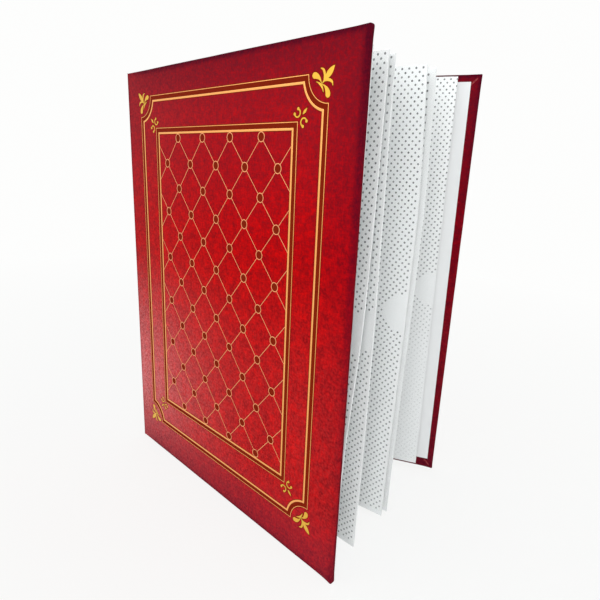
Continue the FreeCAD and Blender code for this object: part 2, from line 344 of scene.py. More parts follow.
class Nodes:
    """Helpers that build a node tree node by node."""

    def __init__(self, tree):
        self.tree = tree

    def node(self, kind, inputs=(), **settings):
        made = self.tree.nodes.new("ShaderNode" + kind)
        for key, value in settings.items():
            setattr(made, key, value)
        for key, value in dict(inputs).items():
            feed(self.tree, made.inputs[key], value)
        return made

    def math(self, operation, *values):
        return self.node("Math", enumerate(values), operation=operation).outputs[0]

    def times(self, first, second):
        return self.math("MULTIPLY", first, second)

    def distance(self, across, along):
        return self.math("SQRT", self.math("ADD", self.times(across, across), self.times(along, along)))

    def place(self):
        return self.node("TexCoord").outputs["Object"]

    def axes(self):
        return self.node("SeparateXYZ", {0: self.place()}).outputs

    def stretched(self, scale):
        return self.node("Mapping", {"Vector": self.place(), "Scale": scale}).outputs[0]

    def noise(self, size, detail=2.0, place=None):
        """Noise whose blotches are about the given size."""
        inputs = {"Vector": place or self.place(), "Scale": 1 / size, "Detail": detail}
        return self.node("TexNoise", inputs).outputs["Fac"]

    def remap(self, value, low, high, to_low=0.0, to_high=1.0):
        inputs = {0: value, 1: low, 2: high, 3: to_low, 4: to_high}
        return self.node("MapRange", inputs).outputs[0]

    def fade(self, value, span, start, end):
        """Smooth change from start to end as the value runs through the span."""
        inputs = {0: value, 1: span[0], 2: span[1], 3: start, 4: end}
        return self.node("MapRange", inputs, interpolation_type="SMOOTHSTEP").outputs[0]

    def mix(self, share, first, second):
        """Mix of two colours, each of them a socket or a tone."""
        first, second = [(*tone, 1) if isinstance(tone, tuple) else tone for tone in (first, second)]
        return self.node("Mix", {0: share, 6: first, 7: second}, data_type="RGBA").outputs[2]

    def attribute(self, name):
        return self.node("Attribute", attribute_name=name).outputs["Fac"]

    def blend(self, share, first, second, output):
        """Send the mix of two shader nodes to an output node."""
        both = self.node("MixShader", {0: share, 1: first.outputs[0], 2: second.outputs[0]})
        feed(self.tree, self.tree.nodes[output].inputs["Surface"], both.outputs[0])

    def seen_ray(self):
        """1 for rays that show a surface directly or in a mirror, 0 for rays that only carry light."""
        path = self.node("LightPath").outputs
        straight = self.math("MAXIMUM", path["Is Camera Ray"], path["Is Glossy Ray"])
        return self.math("MAXIMUM", straight, path["Is Transmission Ray"])


class Shader(Nodes):
    """One procedural material."""

    def __init__(self, name):
        self.material = bpy.data.materials.new(name)
        self.material.use_nodes = True
        super().__init__(self.material.node_tree)
        self.surface = self.tree.nodes["Principled BSDF"]

    def bump(self, height, distance, strength):
        inputs = {"Height": height, "Distance": distance, "Strength": strength}
        self.set(Normal=self.node("Bump", inputs).outputs[0])

    def set(self, **values):
        """Set the surface's sockets, with _ for a space in each name."""
        for key, value in values.items():
            feed(self.tree, self.surface.inputs[key.replace("_", " ")], value)


# Materials

def leatherette():
    """Red velvety leatherette: mottled, scuffed at its rims, with painted shade at head, foot and towards
    the edges, and a painted sheen by the joint.
    """
    shader = Shader("red_leatherette")
    blotches = shader.noise(4.0 * MM, 2.0)
    mottle = shader.noise(1.5 * MM, 3.0)
    fibres_along = shader.noise(0.8 * MM, 2.0, shader.stretched((1.0, 1.0, 0.22)))
    fibres_across = shader.noise(0.8 * MM, 2.0, shader.stretched((0.22, 0.22, 1.0)))
    fibres = shader.times(shader.math("ADD", fibres_along, fibres_across), 0.5)
    colour = shader.mix(shader.remap(mottle, 0.30, 0.62), red_deep, red_middle)
    colour = shader.mix(shader.remap(blotches, 0.38, 0.68, 0.0, 0.75), colour, red_bright)
    colour = shader.mix(shader.remap(fibres, 0.40, 0.58, 0.55, 0.0), colour, red_deep)
    axes = shader.axes()
    out, up = axes["X"], axes["Z"]
    patchy = shader.remap(mottle, 0.35, 0.65, 1.25, 0.75)
    # painted shade, darker towards the head
    head_shade = shader.fade(up, head_shade_span, 0.0, head_shade_share)
    colour = shader.mix(shader.times(head_shade, patchy), colour, head_shade_tone)
    # painted shade, darker towards the foot
    foot = shader.fade(up, foot_shade_span, foot_shade_share, 0.0)
    colour = shader.mix(shader.times(foot, patchy), colour, foot_shade_tone)
    # painted sheen: pale haze by the joint and over the lower face
    sheen = shader.math("POWER", shader.remap(out, 0.0, sheen_reach, 1.0, 0.0), 2.0)
    sheen = shader.times(sheen, sheen_joint)
    sheen = shader.times(sheen, shader.fade(up, sheen_head_span, 1.0, sheen_head_share))
    sheen = shader.times(sheen, shader.fade(up, sheen_foot_span, sheen_foot_share, 1.0))
    sheen = shader.math("ADD", sheen, shader.fade(up, sheen_low_span, sheen_low, 0.0))
    sheen = shader.times(sheen, shader.remap(mottle, 0.3, 0.7, 0.4, 1.6))
    colour = shader.mix(sheen, colour, sheen_tone)
    # scuffed rims and turn-ins, with painted shade over the face and at head and foot, lessened near the
    # joint
    wear_and_shade = shader.times(shader.attribute("edge"), shader.remap(mottle, 0.25, 0.75, 1.0, 0.75))
    wear_and_shade = shader.times(wear_and_shade, shader.remap(up, 0.0, wear_and_shade_height, *wear_and_shade_height_shares))
    off_joint = shader.fade(shader.math("ABSOLUTE", out), joint_wear_and_shade_span, joint_wear_and_shade_share, 1.0)
    colour = shader.mix(shader.times(wear_and_shade, off_joint), colour, wear_and_shade_tone)
    shader.set(Base_Color=colour, Roughness=shader.remap(mottle, 0.2, 0.8, 0.50, 0.68))
    shader.set(Specular_IOR_Level=0.015)
    grain = shader.math("ADD", shader.times(mottle, 0.6), shader.times(fibres, 0.8))
    shader.bump(grain, 0.22 * MM, 0.55)
    return shader.material


def rubbed_leatherette():
    """Leatherette rubbed in patches on the ridge of a fold."""
    shader = Shader("rubbed_leatherette")
    rub = shader.noise(1.2 * MM)
    shader.set(Base_Color=shader.mix(shader.remap(rub, 0.35, 0.65), *rub_tones))
    shader.set(Roughness=0.6, Specular_IOR_Level=0.15)
    shader.bump(rub, 0.1 * MM, 0.5)
    return shader.material


def pressed_shade_leatherette():
    """Dark leatherette beside the blocked lines: painted shade of a pressed groove, with scorched, smooth
    pile.
    """
    shader = Shader("pressed_shade_leatherette")
    mottle = shader.noise(1.6 * MM)
    shader.set(Base_Color=shader.mix(mottle, *press_shade_tones))
    shader.set(Roughness=0.6, Specular_IOR_Level=0.02)
    shader.bump(mottle, 0.05 * MM, 0.3)
    return shader.material


def gold_foil(name, dull, bright):
    shader = Shader(name)
    cloud = shader.noise(14 * MM)
    grain = shader.noise(0.7 * MM)
    shader.set(Base_Color=shader.mix(cloud, dull, bright))
    shader.set(Metallic=0.8, Roughness=shader.remap(grain, 0.3, 0.7, 0.30, 0.44))
    shader.bump(grain, 0.03 * MM, 0.5)
    return shader.material


def white_paper():
    """Smooth white endpaper with faint fibres and cloudy tone."""
    shader = Shader("endpaper")
    cloud = shader.noise(30 * MM)
    fibres = shader.noise(0.6 * MM, 3.0, shader.stretched((1.0, 1.0, 0.4)))
    dull = tuple(channel * 0.965 for channel in endpaper_tone)
    shader.set(Base_Color=shader.mix(cloud, dull, endpaper_tone))
    shader.set(Roughness=shader.remap(fibres, 0.3, 0.7, 0.55, 0.72))
    shader.bump(fibres, 0.03 * MM, 0.6)
    return shader.material


def layered_card():
    """Card in layers, for the boards and the cut edges of the spacers."""
    shader = Shader("spacer_card")
    layers = shader.noise(0.35 * MM, 2.0, shader.stretched((0.05, 1.0, 0.05)))
    shader.set(Base_Color=shader.mix(layers, *spacer_tones), Roughness=0.8)
    shader.bump(layers, 0.08 * MM, 0.6)
    return shader.material


def woven_cloth(name, tones, pitch):
    """Plain weave: two sets of threads that cross."""
    shader = Shader(name)
    axes = shader.axes()
    warp = shader.math("PINGPONG", axes["Z"], pitch / 2)
    weft = shader.math("PINGPONG", shader.math("ADD", axes["X"], axes["Y"]), pitch / 2)
    threads = shader.times(shader.math("ADD", warp, weft), 1 / pitch)
    shader.set(Base_Color=shader.mix(threads, *tones), Roughness=0.85)
    shader.bump(threads, 0.15 * MM, 0.7)
    return shader.material


def striped_band():
    """Woven band wrapped in red and white threads."""
    shader = Shader("band_cloth")
    stripe = shader.math("PINGPONG", shader.axes()["Y"], 1.5 * MM)
    red = shader.math("GREATER_THAN", stripe, 0.75 * MM)
    thread = shader.noise(0.25 * MM)
    colour = shader.mix(red, *band_tones)
    shader.set(Base_Color=shader.mix(shader.remap(thread, 0.3, 0.8, 0.0, 0.25), colour, band_shade))
    shader.set(Roughness=0.7, Sheen_Weight=0.2)
    shader.bump(thread, 0.06 * MM, 0.6)
    return shader.material


def clear_film():
    shader = Shader("clear_film")
    ripple = shader.noise(18 * MM)
    shader.set(Base_Color=(*film_tone, 1), Alpha=0.05, Roughness=0.2, Specular_IOR_Level=0.5)
    shader.bump(ripple, 0.3 * MM, 0.05)
    return shader.material


def dot_lattice(shader, across, along, width, height, fore_margin, shift):
    """Share of ink from one lattice of dots, with whole dots left out at the margins and the patch."""
    offsets = []
    centres = []
    for value, pitch in ((across, dot_pitch_across), (along, dot_pitch_along)):
        moved = shader.math("ADD", value, shift * pitch)
        offset = shader.math("WRAP", moved, pitch / 2, -pitch / 2)
        offsets.append(offset)
        centres.append(shader.math("SUBTRACT", value, offset))
    gap = shader.distance(*offsets)
    ink = shader.remap(gap, dot_radius - dot_softness, dot_radius + dot_softness, 1.0, 0.0)
    centre_across, centre_along = centres
    reach = shader.math("SUBTRACT", centre_across, patch_centre_inset)
    rise = shader.math("SUBTRACT", centre_along, height / 2)
    tests = [
        shader.math("GREATER_THAN", shader.distance(reach, rise), patch_radius),
        shader.math("GREATER_THAN", centre_across, fore_margin),
        shader.math("LESS_THAN", centre_across, width - dot_spine_margin),
        shader.math("GREATER_THAN", centre_along, dot_foot_margin),
        shader.math("LESS_THAN", centre_along, height - dot_head_margin),
    ]
    for test in tests:
        ink = shader.times(ink, test)
    place = shader.node("CombineXYZ", {0: centre_across, 1: centre_along}).outputs[0]
    place = shader.node("VectorMath", {0: place, 1: (1 / MM, 1 / MM, 1.0)}, operation="MULTIPLY").outputs[0]
    jitter = shader.node("TexWhiteNoise", {"Vector": place}).outputs["Value"]
    return shader.times(ink, shader.remap(jitter, 0.0, 1.0, faintest_dot, 1.0))


def dotted_card(number, width, height):
    """White card printed with staggered dots, glossy from the film that lies on it."""
    shader = Shader(f"leaf_card_{number}")
    axes = shader.axes()
    across = shader.math("SUBTRACT", width, axes["X"])
    along = axes["Z"]
    fore_margin = dot_fore_margin[number] * MM
    inks = [dot_lattice(shader, across, along, width, height, fore_margin, shift) for shift in (0.0, 0.5)]
    ink = shader.math("MAXIMUM", *inks)
    facing = shader.node("SeparateXYZ", {0: shader.node("TexCoord").outputs["Normal"]}).outputs["Y"]
    on_face = shader.math("GREATER_THAN", shader.math("ABSOLUTE", facing), facing_limit)
    ink = shader.times(ink, on_face)
    span = [share * height for share in dot_glare_span]
    # painted reflection: the dots faded over the lower part of leaf 7, standing in for the film's glare
    ink = shader.times(ink, shader.remap(along, *span, 1 - dot_foot_glare.get(number, 0.0), 1.0))
    # painted light and shade: each leaf's card scaled lighter or darker for the light that reaches it
    tones = [tuple(channel * leaf_painted_light[number] for channel in tone) for tone in card_tones]
    card = shader.mix(shader.noise(45 * MM), *tones)
    card = shader.mix(on_face, card_edge_tone, card)
    shader.set(Base_Color=shader.mix(ink, card, ink_tone), Roughness=0.55)
    shader.set(Coat_Weight=0.35, Coat_Roughness=0.34)
    return shader.material


# Mesh helpers

def add_object(name, data, place):
    made = bpy.data.objects.new(name, data)
    made.matrix_world = place
    bpy.context.scene.collection.objects.link(made)
    return made


def add_piece(name, points, faces, material, place=Matrix(), sharp=35.0):
    mesh = bpy.data.meshes.new(name)
    mesh.from_pydata([tuple(point) for point in points], [], faces)
    work = bmesh.new()
    work.from_mesh(mesh)
    bmesh.ops.recalc_face_normals(work, faces=work.faces)
    work.to_mesh(mesh)
    work.free()
    mesh.shade_smooth()
    mesh.set_sharp_from_angle(angle=math.radians(sharp))
    mesh.materials.append(material)
    return add_object(name, mesh, place)


def fit(piece, body, node=None):
    """Say which body a piece rides on and which CAD node it stands in for."""
    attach(piece, body)
    if node:
        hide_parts(node)


def mark(piece, name, values):
    """Store one number per point, for the material to read."""
    attribute = piece.data.attributes.new(name, "FLOAT", "POINT")
    attribute.data.foreach_set("value", np.asarray(values, np.float32))


def bridge(loops, closed_ends=True):
    """Faces between loops of equal length, with a cap on each end if asked."""
    count = len(loops[0])
    points = [point for loop in loops for point in loop]
    faces = []
    for row in range(len(loops) - 1):
        for step in range(count):
            a = row * count + step
            b = row * count + (step + 1) % count
            faces.append((a, b, b + count, a + count))
    if closed_ends:
        faces.append(tuple(range(count)))
        faces.append(tuple(range(len(points) - count, len(points))))
    return points, faces


def eased(count):
    """Shares from 0 to 1, closer together towards both ends."""
    return [(1 - math.cos(math.pi * step / count)) / 2 for step in range(count + 1)]


def rectangle(low, high):
    return [Vector(point) for point in ((low.x, low.y), (high.x, low.y), (high.x, high.y), (low.x, high.y))]


def outline(low, high, insets, radii):
    """Rounded rectangle as points in order. Insets are for left, right, foot and head, radii for the
    corners in the order they are met."""
    left, right, foot, head = insets
    box = rectangle(low + Vector((left, foot)), high - Vector((right, head)))
    arcs = []
    for corner, start, radius in zip(box[1:] + box[:1], (-90, 0, 90, 180), radii):
        inward = Vector((math.cos(math.radians(start + 225)), math.sin(math.radians(start + 225))))
        centre = corner + inward * radius * math.sqrt(2)
        turns = np.radians(np.linspace(start, start + 90, corner_samples + 1))
        arcs.append([centre + radius * Vector((math.cos(turn), math.sin(turn))) for turn in turns])
    points = []
    for number, arc in enumerate(arcs):
        points.extend(arc)
        end = arcs[(number + 1) % len(arcs)][0]
        points.extend(arc[-1].lerp(end, share) for share in eased(side_samples)[1:-1])
    return points


def edge_inset(level, half, radius):
    """How far a rounded edge has drawn in at a level above the plate's middle."""
    over = max(0.0, abs(level) - (half - radius))
    return radius - math.sqrt(max(0.0, radius * radius - over * over))


def soft_plate(low, high, half, rounds, radii, bulging, outward):
    """Plate with rounded edges, in X and Z about its middle plane, as loops from one face to the other.
    Returns its points, its faces and how dark each point is marked: scuffed rims, the turn-ins' darker
    margin, and painted shade over the face towards its edges, at head and foot, and on the turn-ins towards
    the foot."""
    room = min(high - low) / 2
    spread = [inset for inset in face_insets if inset < room - face_inset_room]
    levels = [half * math.sin(math.pi * (step / edge_steps - 0.5)) for step in range(edge_steps + 1)]
    rows = [(-half, inset) for inset in reversed(spread)]
    rows += [(level, 0.0) for level in levels]
    rows += [(half, inset) for inset in spread]
    loops = []
    wear_and_shade_marks = []
    for level, extra in rows:
        insets = [edge_inset(level, half, radius) + extra for radius in rounds]
        trimmed = [max(least_corner, radius - min(insets)) for radius in radii]
        loop = outline(low, high, insets, trimmed)
        loops.append([soften(Vector((point.x, level, point.y)), bulging, half) for point in loop])
        turned = min(1.0, 1 - outward * level / half)
        rim = rim_wear * max(0.0, 1 - extra / rim_reach)
        # painted shade over the face near its edges
        face = face_shade * max(0.0, 1 - extra / face_shade_reach)
        for point in loop:
            height = point.y - low.y
            rise = height / (high.y - low.y)
            # the scuffing and painted shade weakest a little above the foot, full near the foot and at the
            # head
            share = max(low_wear_and_shade_share + (1 - low_wear_and_shade_share) * rise, 1 - height / foot_wear_and_shade_reach)
            # the turn-ins darker, with painted shade towards the foot
            inside = turned * (turn_in_wear + turn_in_foot_shade * (1 - rise))
            wear_and_shade_marks.append(max(inside, (rim + face) * share))
    points, faces = bridge(loops)
    return points, faces, wear_and_shade_marks


def soften(point, bulging, half):
    """Swell a point near a folded corner and let the edges wander a little."""
    wander = noise.noise_vector(point / edge_wander_length) * edge_wander
    moved = point + Vector((wander.x, 0.0, wander.z))
    for corner, inward in bulging:
        away = Vector((point.x - corner.x, 0.0, point.z - corner.y))
        shift = Vector((corner.x, 0.0, corner.y)) * lump_shift
        lump = 1 + lump_share * noise.noise(point * lump_pitch + shift)
        swell = corner_bulge * lump * math.exp(-(away.length / corner_bulge_reach) ** 2)
        out = Vector((-inward.x, 0.0, -inward.y))
        moved += out * swell * corner_bulge_out + Vector((0.0, swell * point.y / half, 0.0))
    return moved


def ribbon(path, width, height, base, side, closed):
    """Low band with soft edges along a flat path in X and Z, standing on the level base."""
    count = len(path)
    loops = []
    for step, point in enumerate(path):
        before = path[step - 1] if closed or step > 0 else None
        after = path[(step + 1) % count] if closed or step < count - 1 else None
        ways = [way.normalized() for way in (before and point - before, after and after - point) if way]
        sides = [Vector((-way.y, way.x)) for way in ways]
        across = sum(sides, Vector((0.0, 0.0))).normalized()
        across /= max(ribbon_bend_limit, across.dot(sides[0]))
        spots = [(point + across * width / 2 * a, h) for a, h in ribbon_profile]
        loops.append([Vector((spot.x, base + side * height * h, spot.y)) for spot, h in spots])
    if closed:
        points, faces = bridge(loops + loops[:1], False)
        rest = len(points) - len(ribbon_profile)
        faces = [tuple(index % rest for index in face) for face in faces]
        return points[:rest], faces
    return bridge(loops)


def merge(parts):
    """Several (points, faces) pairs as one."""
    points = []
    faces = []
    for part_points, part_faces in parts:
        start = len(points)
        points.extend(part_points)
        faces.extend(tuple(index + start for index in face) for face in part_faces)
    return points, faces


def sheet(low, high, columns, rows, lean, swell=0.0):
    """Thin closed sheet in X and Z that leans out of its plane, its border swollen a little."""
    xs = np.linspace(low.x, high.x, columns + 1).tolist()
    zs = np.linspace(low.z, high.z, rows + 1).tolist()
    border = [(x, zs[0]) for x in xs[:-1]] + [(xs[-1], z) for z in zs[:-1]]
    border += [(x, zs[-1]) for x in xs[:0:-1]] + [(xs[0], z) for z in zs[:0:-1]]
    points = []
    index = {}

    def add(x, y, z):
        points.append(Vector((x, y + lean(x, z), z)))
        return len(points) - 1

    for level, y in (("low", low.y), ("high", high.y)):
        for x in xs:
            for z in zs:
                index[level, x, z] = add(x, y, z)
    for x, z in border:
        out_x = swell * ((x == xs[-1]) - (x == xs[0]))
        out_z = swell * ((z == zs[-1]) - (z == zs[0]))
        index["middle", x, z] = add(x + out_x, (low.y + high.y) / 2, z + out_z)
    faces = []
    for level in ("low", "high"):
        for x0, x1 in zip(xs[:-1], xs[1:]):
            for z0, z1 in zip(zs[:-1], zs[1:]):
                faces.append(tuple(index[level, x, z] for x, z in ((x0, z0), (x1, z0), (x1, z1), (x0, z1))))
    for (x0, z0), (x1, z1) in zip(border, border[1:] + border[:1]):
        for lower, upper in (("low", "middle"), ("middle", "high")):
            corners = ((lower, x0, z0), (lower, x1, z1), (upper, x1, z1), (upper, x0, z0))
            faces.append(tuple(index[corner] for corner in corners))
    return points, faces


def strip(path, foot, head, thickness, rows):
    """Sheet that follows a path in plan from foot to head, as thick as given on its left."""
    lefts = []
    for step in range(len(path)):
        way = path[min(step + 1, len(path) - 1)] - path[max(step - 1, 0)]
        lefts.append(Vector((-way.y, way.x)).normalized())
    outer = [point + left * thickness for point, left in zip(path, lefts)]
    loops = []
    for height in np.linspace(foot, head, rows + 1):
        loops.append([Vector((*point, height)) for point in path + outer[::-1]])
    return bridge(loops)


def smooth_path(points, steps, closed=False):
    """Catmull-Rom curve through flat points."""
    points = [Vector(point) for point in points]
    count = len(points)
    curve = []
    for number in range(count if closed else count - 1):
        pick = [(number + move) % count if closed else min(max(number + move, 0), count - 1)
                for move in (-1, 0, 1, 2)]
        a, b, c, d = [points[index] for index in pick]
        for step in range(steps):
            t = step / steps
            curve.append(0.5 * (2 * b + (c - a) * t + (2 * a - 5 * b + 4 * c - d) * t ** 2
                                + (3 * b - a - 3 * c + d) * t ** 3))
    return curve if closed else curve + [points[-1]]


# Case

def cover_box(side):
    """A cover's frame at rest, and the corners of its leatherette's box in that frame."""
    place = hinge_frame(f"{side}_cover_hinge", f"{side}_board", f"{side}_cover_wrap")
    return place, *local_box(f"{side}_cover_wrap", place)


def cover_shell(side, way, material):
    """Leatherette over a cover's board: full round at the joint, folded corners at the fore-edge."""
    place, low, high = cover_box(side)
    half = (high.y - low.y) / 2
    flat_low = Vector((low.x, low.z))
    flat_high = Vector((high.x, high.z))
    slant = math.sqrt(0.5)
    bulging = [
        (Vector((high.x, low.z)), Vector((-slant, slant))),
        (Vector((high.x, high.z)), Vector((-slant, -slant))),
    ]
    rounds = (half, edge_round, edge_round, edge_round)
    radii = (corner_radius, corner_radius, joint_corner_radius, joint_corner_radius)
    points, faces, wear_and_shade_marks = soft_plate(flat_low, flat_high, half, rounds, radii, bulging, way)
    piece = add_piece(f"{side}_cover_skin", points, faces, material, place)
    mark(piece, "edge", wear_and_shade_marks)
    fit(piece, f"{side}_cover", f"{side}_cover_wrap")


def mitre_folds(side, inward, material):
    """Ridge where the turn-ins lap over each other at each fore-edge corner."""
    place, low, high = cover_box(side)
    face = high.y if inward > 0 else low.y
    reach = pastedown_margin + mitre_width
    for end_name, corner, way in (
        ("head", Vector((high.x, high.z)), Vector((-1.0, -1.0))),
        ("foot", Vector((high.x, low.z)), Vector((-1.0, 1.0))),
    ):
        path = [corner + way * mitre_start, corner + way * reach / 2, corner + way * reach]
        ridge = ribbon(path, mitre_width, mitre_height, face, inward, False)
        piece = add_piece(f"{side}_{end_name}_mitre", *ridge, material, place)
        fit(piece, f"{side}_cover")


def spine_shell(material):
    """Leatherette over the spine board, set in at both sides so that the covers close past it."""
    low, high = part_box("spine_wrap")
    middle = (low.x + high.x) / 2
    half = (high.x - low.x) / 2
    place = Matrix.Translation((middle, 0, 0)) @ Matrix.Rotation(math.pi / 2, 4, "Z")
    rounds = (edge_round,) * 4
    radii = (joint_corner_radius,) * 4
    flat_low = Vector((low.y + spine_side_room, low.z))
    flat_high = Vector((high.y - spine_side_room, high.z))
    points, faces, wear_and_shade_marks = soft_plate(flat_low, flat_high, half, rounds, radii, [], 1)
    piece = add_piece("spine_skin", points, faces, material, place)
    mark(piece, "edge", wear_and_shade_marks)
    fit(piece, "spine", "spine_wrap")


def outer_joint(side, way, material):
    """Leatherette from the spine's back round the cover's rounded edge; way is -1 for the front."""
    place, low, high = cover_box(side)
    pivot = place.translation.xy
    spine_low, spine_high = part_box("spine_wrap")
    radius = (high.y - low.y) / 2 + joint_lift
    spine_edge = spine_high.y
    back = spine_low.x - joint_lift
    flat = [Vector((back, way * (spine_edge - lap))) for lap in (joint_lap, edge_round)]
    dip = [Vector((back + joint_dip, way * (spine_edge + joint_dip_out)))]
    facing = place.to_quaternion() @ Vector((0.0, way, 0.0))
    last = math.atan2(facing.y * way, facing.x)
    turns = np.linspace(math.radians(joint_first_turn), last, joint_arc_steps + 1)
    around = [pivot + radius * Vector((math.cos(turn), way * math.sin(turn))) for turn in turns]
    path = smooth_path(flat + dip + around, joint_curve_steps)
    if way < 0:
        path.reverse()
    foot = spine_low.z + joint_end_margin
    head = spine_high.z - joint_end_margin
    points, faces = strip(path, foot, head, joint_skin, joint_rows)
    piece = add_piece(f"{side}_outer_joint", points, faces, material)
    mark(piece, "edge", [joint_wear] * len(points))
    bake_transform(piece)


# Gold blocking, drawn in the front cover's own X and Z

def incurved(low, high, inset):
    """Closed path inset from a panel, its corners scooped out by arcs about the panel's own corners."""
    path = []
    radius = rule_corner_radius + inset
    first = math.asin(inset / radius)
    turns = np.linspace(first, math.pi / 2 - first, arc_steps + 1)
    for corner in rectangle(low, high):
        x_way = 1 if corner.x > low.x else -1
        y_way = 1 if corner.y > low.y else -1
        arc = [corner - radius * Vector((x_way * math.sin(turn), y_way * math.cos(turn))) for turn in turns]
        path.extend(arc if x_way * y_way > 0 else arc[::-1])
    return path


def grown(low, high, side, end):
    return low - Vector((side, end)), high + Vector((side, end))


def rule_paths(low, high):
    """Each rule as (path, width)."""
    inner = grown(low, high, -inner_side_inset, -inner_end_inset)
    return [
        (incurved(low, high, 0.0), thin_rule),
        (incurved(low, high, rule_step), thick_rule),
        (rectangle(*inner), thin_rule),
        (rectangle(*grown(*inner, -rule_step, -rule_step)), thick_rule),
    ]


def band_paths(low, high):
    """The band between the two rules of each pair, as (path, width)."""
    inner = grown(low, high, -inner_side_inset, -inner_end_inset)
    half = rule_step / 2
    return [
        (incurved(low, high, half), rule_step),
        (rectangle(*grown(*inner, -half, -half)), rule_step),
    ]


def trellis_rings(low, high):
    """Ring centres inside the field, and the lattice's pitches."""
    middle = (low.x + high.x) / 2
    half_pitch = trellis_column_pitch / 2
    row_pitch = (high.y - low.y - 2 * ring_radius) / (trellis_rows - 1)
    columns = int((high.x - low.x) / 2 / half_pitch) + 1
    rings = []
    for row in range(trellis_rows):
        for column in range(-columns, columns + 1):
            x = middle + column * half_pitch
            if (row + column) % 2 == 1 and low.x + ring_radius < x < high.x - ring_radius:
                rings.append(Vector((x, low.y + ring_radius + row * row_pitch)))
    return rings, Vector((half_pitch, row_pitch))


def trellis_lines(rings, pitch, low, high):
    """Straight runs from ring to ring, cut off at the sides of the field."""
    clear = ring_radius - ring_line / 2
    lines = []
    for ring in rings:
        for x_way in (-1, 1):
            for y_way in (-1, 1):
                step = Vector((x_way * pitch.x, y_way * pitch.y))
                far = ring + step
                if far.y < low.y or far.y > high.y:
                    continue
                gap = step.normalized() * clear
                if low.x < far.x < high.x:
                    if y_way > 0:
                        lines.append((ring + gap, far - gap))
                    continue
                edge = high.x if x_way > 0 else low.x
                lines.append((ring + gap, ring + step * ((edge - ring.x) / step.x)))
    return lines


def circle(centre, radius, sides):
    turns = [2 * math.pi * step / sides for step in range(sides)]
    return [centre + radius * Vector((math.cos(turn), math.sin(turn))) for turn in turns]


def disc(path, height, base):
    """Flat low disc inside a closed path in X and Z."""
    return bridge([[Vector((point.x, level, point.y)) for point in path] for level in (base, base - height)])


def mirrored(points):
    return [Vector((-x, y)) for x, y in reversed(points)]


def bud(side):
    right = smooth_path(side, curve_steps)
    return right + mirrored(right[1:-1])


def large_fleuron():
    """Outlines of the large fleuron in mm."""
    shapes = [bud(bud_side)]
    for half in (leaflet_outline, lobe_outline, tail_outline):
        shapes += [smooth_path(points, curve_steps, True) for points in (half, mirrored(half))]
    return shapes


def small_fleuron():
    """Outlines of the small fleuron in mm: a bud between two scrolls with knobbed ends."""
    shapes = [bud(small_bud_side)]
    sweep = math.radians(scroll_half_sweep)
    turns = np.linspace(-sweep, sweep, arc_steps + 1)
    for side in (-1, 1):
        spots = [Vector((-side * math.cos(turn), math.sin(turn))) for turn in turns]
        centre = Vector((side * scroll_offset, 0.0))
        outside = [centre + spot * (scroll_radius + scroll_line / 2) for spot in spots]
        inside = [centre + spot * (scroll_radius - scroll_line / 2) for spot in reversed(spots)]
        shapes.append(outside + inside)
        ends = [centre + spot * scroll_radius for spot in (spots[0], spots[-1])]
        shapes += [circle(end, knob_radius, ring_sides // 2) for end in ends]
    return shapes


def plaque(shape, base, height):
    """Low solid with a rounded rim over a closed outline in X and Z."""
    curve = bpy.data.curves.new("plaque", "CURVE")
    curve.dimensions = "2D"
    curve.fill_mode = "BOTH"
    curve.extrude = height * (1 - plaque_rim)
    curve.bevel_depth = height * plaque_rim
    curve.bevel_resolution = 1
    curve.offset = -height * plaque_rim
    spline = curve.splines.new("POLY")
    spline.points.add(len(shape) - 1)
    for spot, point in zip(spline.points, shape):
        spot.co = (point.x, point.y, 0.0, 1.0)
    spline.use_cyclic_u = True
    holder = bpy.data.objects.new("plaque", curve)
    mesh = bpy.data.meshes.new_from_object(holder)
    points = [Vector((vertex.co.x, base - vertex.co.z, vertex.co.y)) for vertex in mesh.vertices]
    faces = [tuple(face.vertices) for face in mesh.polygons]
    bpy.data.objects.remove(holder)
    bpy.data.curves.remove(curve)
    bpy.data.meshes.remove(mesh)
    return points, faces


def fleuron_shapes(low, high):
    """Outlines of all fleurons, set at the corners of the outer and inner rules."""
    inner = grown(low, high, -inner_side_inset, -inner_end_inset)
    shapes = []
    for bounds, ornament, outward in (((low, high), large_fleuron(), -large_fleuron_inset),
                                      (inner, small_fleuron(), small_fleuron_offset)):
        middle = (bounds[0] + bounds[1]) / 2
        for x in (bounds[0].x, bounds[1].x):
            for y in (bounds[0].y, bounds[1].y):
                way = Vector((math.copysign(1, x - middle.x), math.copysign(1, y - middle.y))).normalized()
                across = Vector((way.y, -way.x))
                root = Vector((x, y)) + way * outward
                shapes += [[root + (across * p.x + way * p.y) * MM for p in shape] for shape in ornament]
    return shapes


